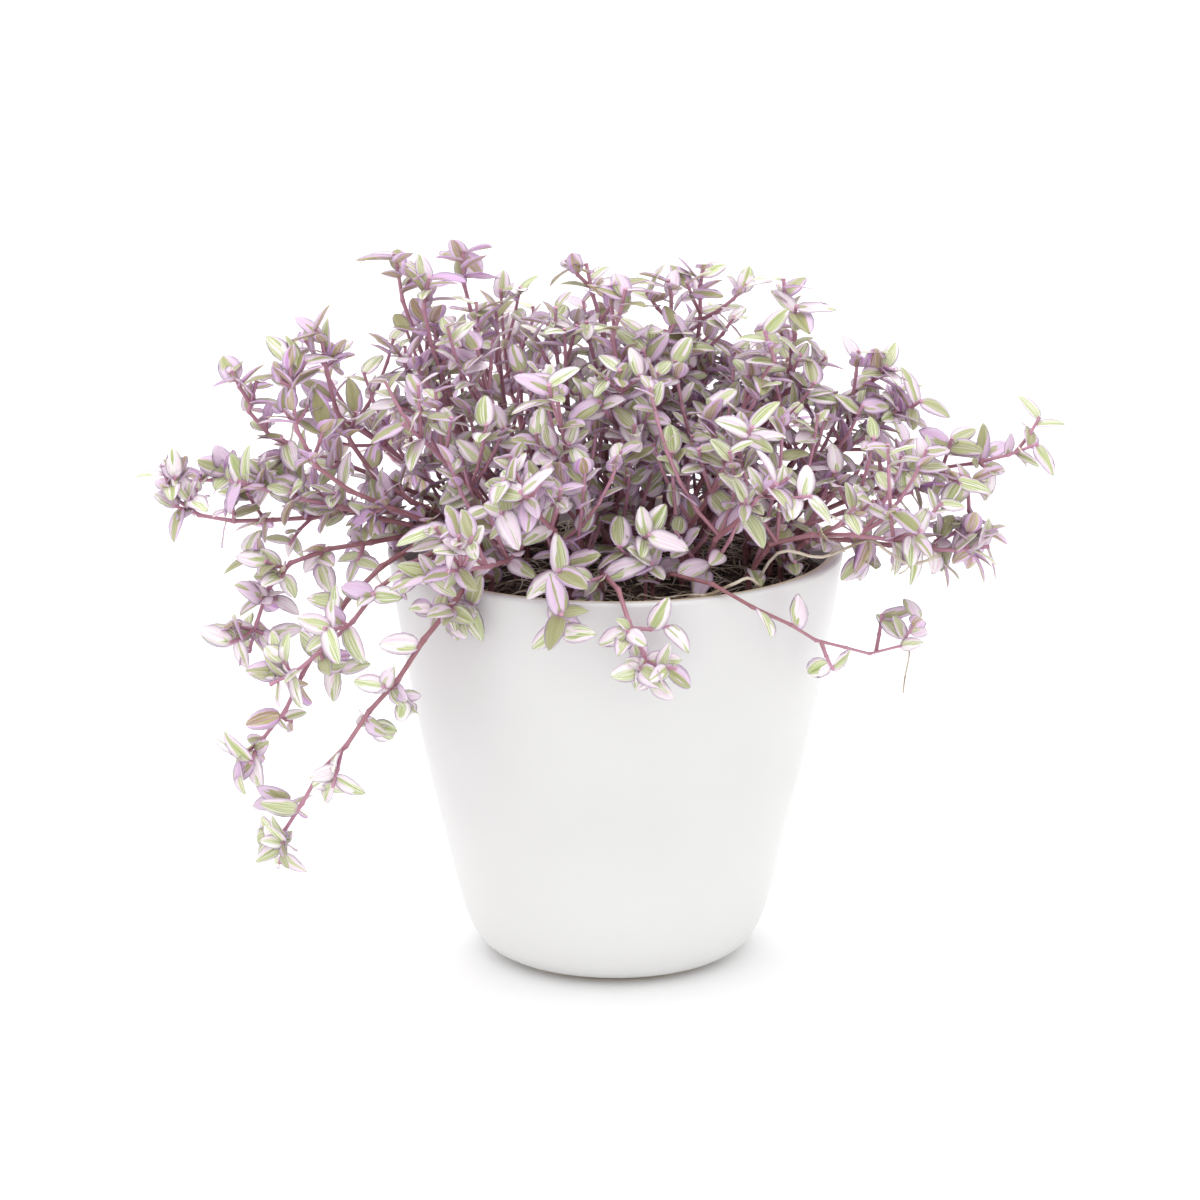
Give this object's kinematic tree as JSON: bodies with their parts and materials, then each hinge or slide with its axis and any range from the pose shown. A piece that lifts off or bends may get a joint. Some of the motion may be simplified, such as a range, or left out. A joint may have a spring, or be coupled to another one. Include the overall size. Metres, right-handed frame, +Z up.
{
  "type": "potted tradescantia",
  "caption": "White glazed tapered pot filled with dark soil, with a low mound of slender purple stems and small pink, green and violet striped leaves that trails past the rim.",
  "frame": {"origin": "centre of the pot's flat unglazed foot, on the table", "axes": "+Z up along the pot's axis, -Y towards the front of the plant, +X to the right as seen from the front"},
  "size_m": [0.284, 0.1998, 0.2202],
  "materials": {
    "pot": "satin",
    "soil": "matte",
    "foliage": "satin"
  },
  "bodies": {
    "root": {"pot": "pot", "soil": "soil", "spray_01": "foliage", "spray_02": "foliage", "spray_03": "foliage", "spray_04": "foliage", "spray_05": "foliage", "spray_06": "foliage", "spray_07": "foliage", "spray_08": "foliage", "spray_09": "foliage", "spray_10": "foliage", "spray_11": "foliage", "spray_12": "foliage", "spray_13": "foliage", "spray_14": "foliage", "spray_15": "foliage", "spray_16": "foliage", "spray_17": "foliage", "spray_18": "foliage", "spray_19": "foliage", "spray_20": "foliage", "spray_21": "foliage", "spray_22": "foliage", "spray_23": "foliage", "spray_bowing_right": "foliage", "spray_dropping_left": "foliage", "spray_far_left": "foliage", "spray_far_right": "foliage", "spray_front_drop": "foliage", "spray_front_spill": "foliage", "spray_front_star": "foliage", "spray_hanging_left": "foliage", "spray_hanging_long": "foliage", "spray_hanging_outer": "foliage", "spray_hanging_right": "foliage", "spray_left_low": "foliage", "spray_left_low_back": "foliage", "spray_left_tuft": "foliage", "spray_left_tuft_back": "foliage", "spray_left_tuft_front": "foliage", "spray_low_right": "foliage", "spray_right_low": "foliage", "spray_right_low_front": "foliage", "spray_right_shoulder": "foliage", "spray_right_shoulder_back": "foliage", "spray_rim_spill_left": "foliage", "spray_spike_right": "foliage", "spray_top_left": "foliage", "spray_top_left_inner": "foliage", "spray_top_left_outer": "foliage", "spray_top_middle": "foliage", "spray_top_middle_back": "foliage", "spray_top_right": "foliage", "spray_top_right_middle": "foliage"}
  },
  "joints": []
}
